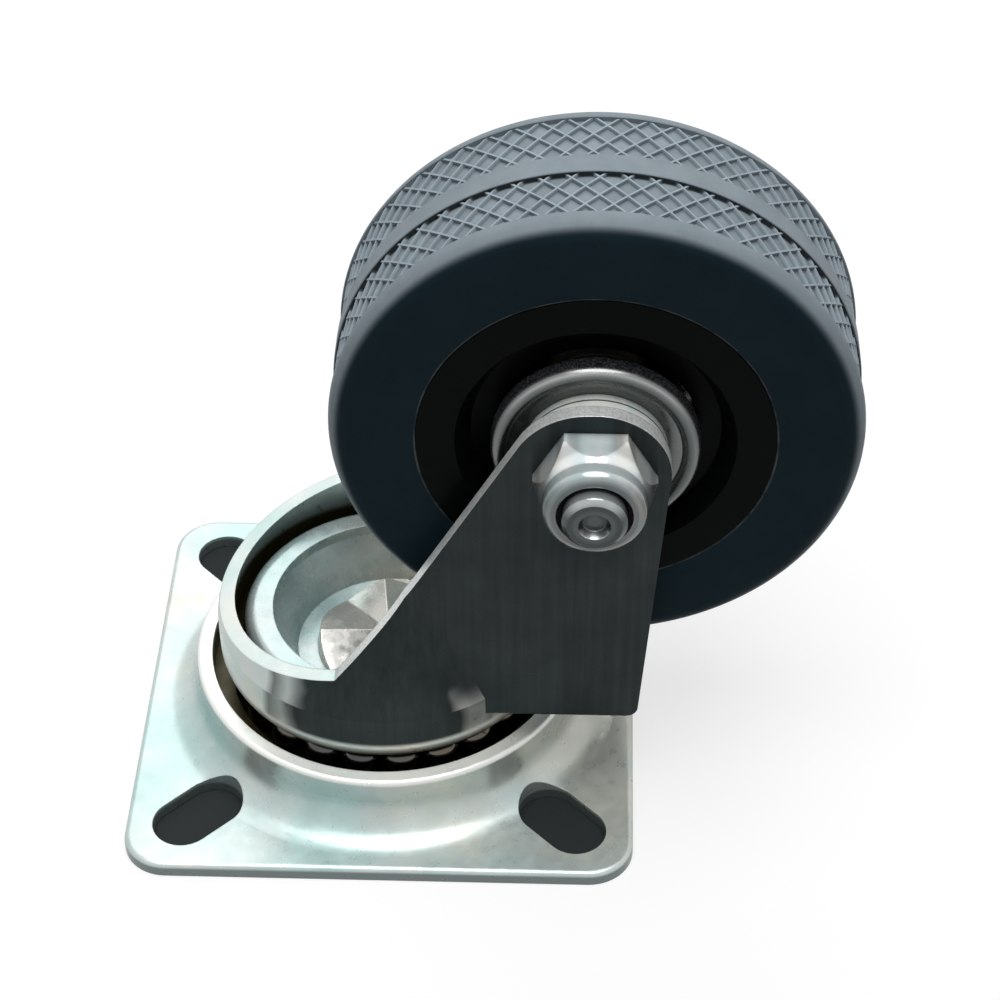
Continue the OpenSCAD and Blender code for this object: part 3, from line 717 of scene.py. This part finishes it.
# Strength of the world as a light, and what the floor adds to look white like the world behind it
WORLD_LIGHT = 0.15
FLOOR_LIFT = 0.7

# Half widths of floor and of the mat that stands for shade under the plate, how far each lies below the
# plate's underside, and their colours
FLOOR_HALF, FLOOR_DEPTH, FLOOR_GREY = 3.0, 0.00005, (0.34, 0.34, 0.34)
MAT_HALF, MAT_DEPTH, MAT_SHADOW_GREY = 0.0235, 0.00002, (0.035, 0.04, 0.04)
LAMP_WIDE = 0.8


def lit_ray(tree):
    """1 for rays that look at the background: camera, gloss and transmission."""
    path = tree.nodes.new("ShaderNodeLightPath")
    both = add(tree, "ShaderNodeMath", operation="MAXIMUM")
    wire(tree, path, both, "Is Camera Ray", 0)
    wire(tree, path, both, "Is Glossy Ray", 1)
    every = add(tree, "ShaderNodeMath", operation="MAXIMUM")
    wire(tree, both, every, 0, 0)
    wire(tree, path, every, "Is Transmission Ray", 1)
    return every


def seen_or_light(tree, seen, light):
    """The value seen for rays that look at the background, and light for the others."""
    level = add(tree, "ShaderNodeMapRange")
    level.inputs["To Min"].default_value = light
    level.inputs["To Max"].default_value = seen
    wire(tree, lit_ray(tree), level)
    return level


def world_light():
    world = bpy.data.worlds.new("studio")
    bpy.context.scene.world = world
    world.use_nodes = True
    background = world.node_tree.nodes["Background"]
    background.inputs["Color"].default_value = (1, 1, 1, 1)
    wire(world.node_tree, seen_or_light(world.node_tree, 1.0, WORLD_LIGHT), background, 0, "Strength")


def sheet(name, look, half, depth, colour):
    """Dull flat square that lies depth below the plate's underside."""
    mesh = bpy.data.meshes.new(name)
    corners = [(x * half, y * half, 0) for x, y in ((-1, -1), (1, -1), (1, 1), (-1, 1))]
    mesh.from_pydata(corners, [], [(0, 1, 2, 3)])
    obj = bpy.data.objects.new(name, mesh)
    obj.location.z = -depth
    bpy.context.scene.collection.objects.link(obj)
    mat, tree, shader = new_material(look)
    shader.inputs["Base Color"].default_value = colour + (1,)
    shader.inputs["Roughness"].default_value = 0.9
    shader.inputs["Specular IOR Level"].default_value = 0.0
    mesh.materials.append(mat)
    return obj, tree, shader


def lamp(name, place_at, aim, power):
    """Round soft lamp that looks from place_at towards aim."""
    data = bpy.data.lights.new(name, "AREA")
    data.energy = power
    data.shape = "DISK"
    data.size = LAMP_WIDE
    obj = bpy.data.objects.new(name, data)
    obj.location = place_at
    obj.rotation_euler = (Vector(aim) - Vector(place_at)).to_track_quat("-Z", "Y").to_euler()
    bpy.context.scene.collection.objects.link(obj)


def studio():
    bpy.context.scene.view_settings.view_transform = "Standard"
    world_light()
    floor, tree, shader = sheet("floor", "floor_white", FLOOR_HALF, FLOOR_DEPTH, FLOOR_GREY)
    shader.inputs["Emission Color"].default_value = (1, 1, 1, 1)
    wire(tree, seen_or_light(tree, FLOOR_LIFT, 0.0), shader, 0, "Emission Strength")
    # A dark mat lies hidden under the plate, so that its slots show dark as in the photograph
    # The dark mat is painted shadow: a sheet where only the plate's shade falls, seen through its slots
    mat_under, _, _ = sheet("dark_mat", "mat_shadow", MAT_HALF, MAT_DEPTH, MAT_SHADOW_GREY)
    lamp("back", place_at=(-0.12, 0.70, 0.72), aim=(0.0, 0, 0.02), power=2.2)
    lamp("top", place_at=(0.03, -0.12, 1.0), aim=(0.012, 0, 0.02), power=7.9)


studio()


# Camera fitted to the photograph: angles in degrees, lengths in millimetres

AZIMUTH, ELEVATION, ROLL = 2.408, 41.711, -0.584
CAMERA_AT = (20.058, -199.214, 205.787)
SENSOR = 36
LENS = 96.96
CLIP_START = 10


def camera():
    """Looks from CAMERA_AT along the azimuth and elevation, turned by the roll."""
    azimuth, elevation, roll = (math.radians(angle) for angle in (AZIMUTH, ELEVATION, ROLL))
    back = Vector((math.sin(azimuth) * math.cos(elevation), -math.cos(azimuth) * math.cos(elevation),
                   math.sin(elevation)))
    right = (-back).cross(Vector((0, 0, 1))).normalized()
    up = right.cross(-back)
    image_right = math.cos(roll) * right + math.sin(roll) * up
    image_up = -math.sin(roll) * right + math.cos(roll) * up
    turn = Matrix((image_right, image_up, back)).transposed()
    data = bpy.data.cameras.new("camera")
    data.sensor_width = SENSOR
    data.lens = LENS
    data.clip_start = MM * CLIP_START
    obj = bpy.data.objects.new("camera", data)
    obj.matrix_world = Matrix.Translation(MM * Vector(CAMERA_AT)) @ turn.to_4x4()
    bpy.context.scene.collection.objects.link(obj)
    bpy.context.scene.camera = obj


camera()
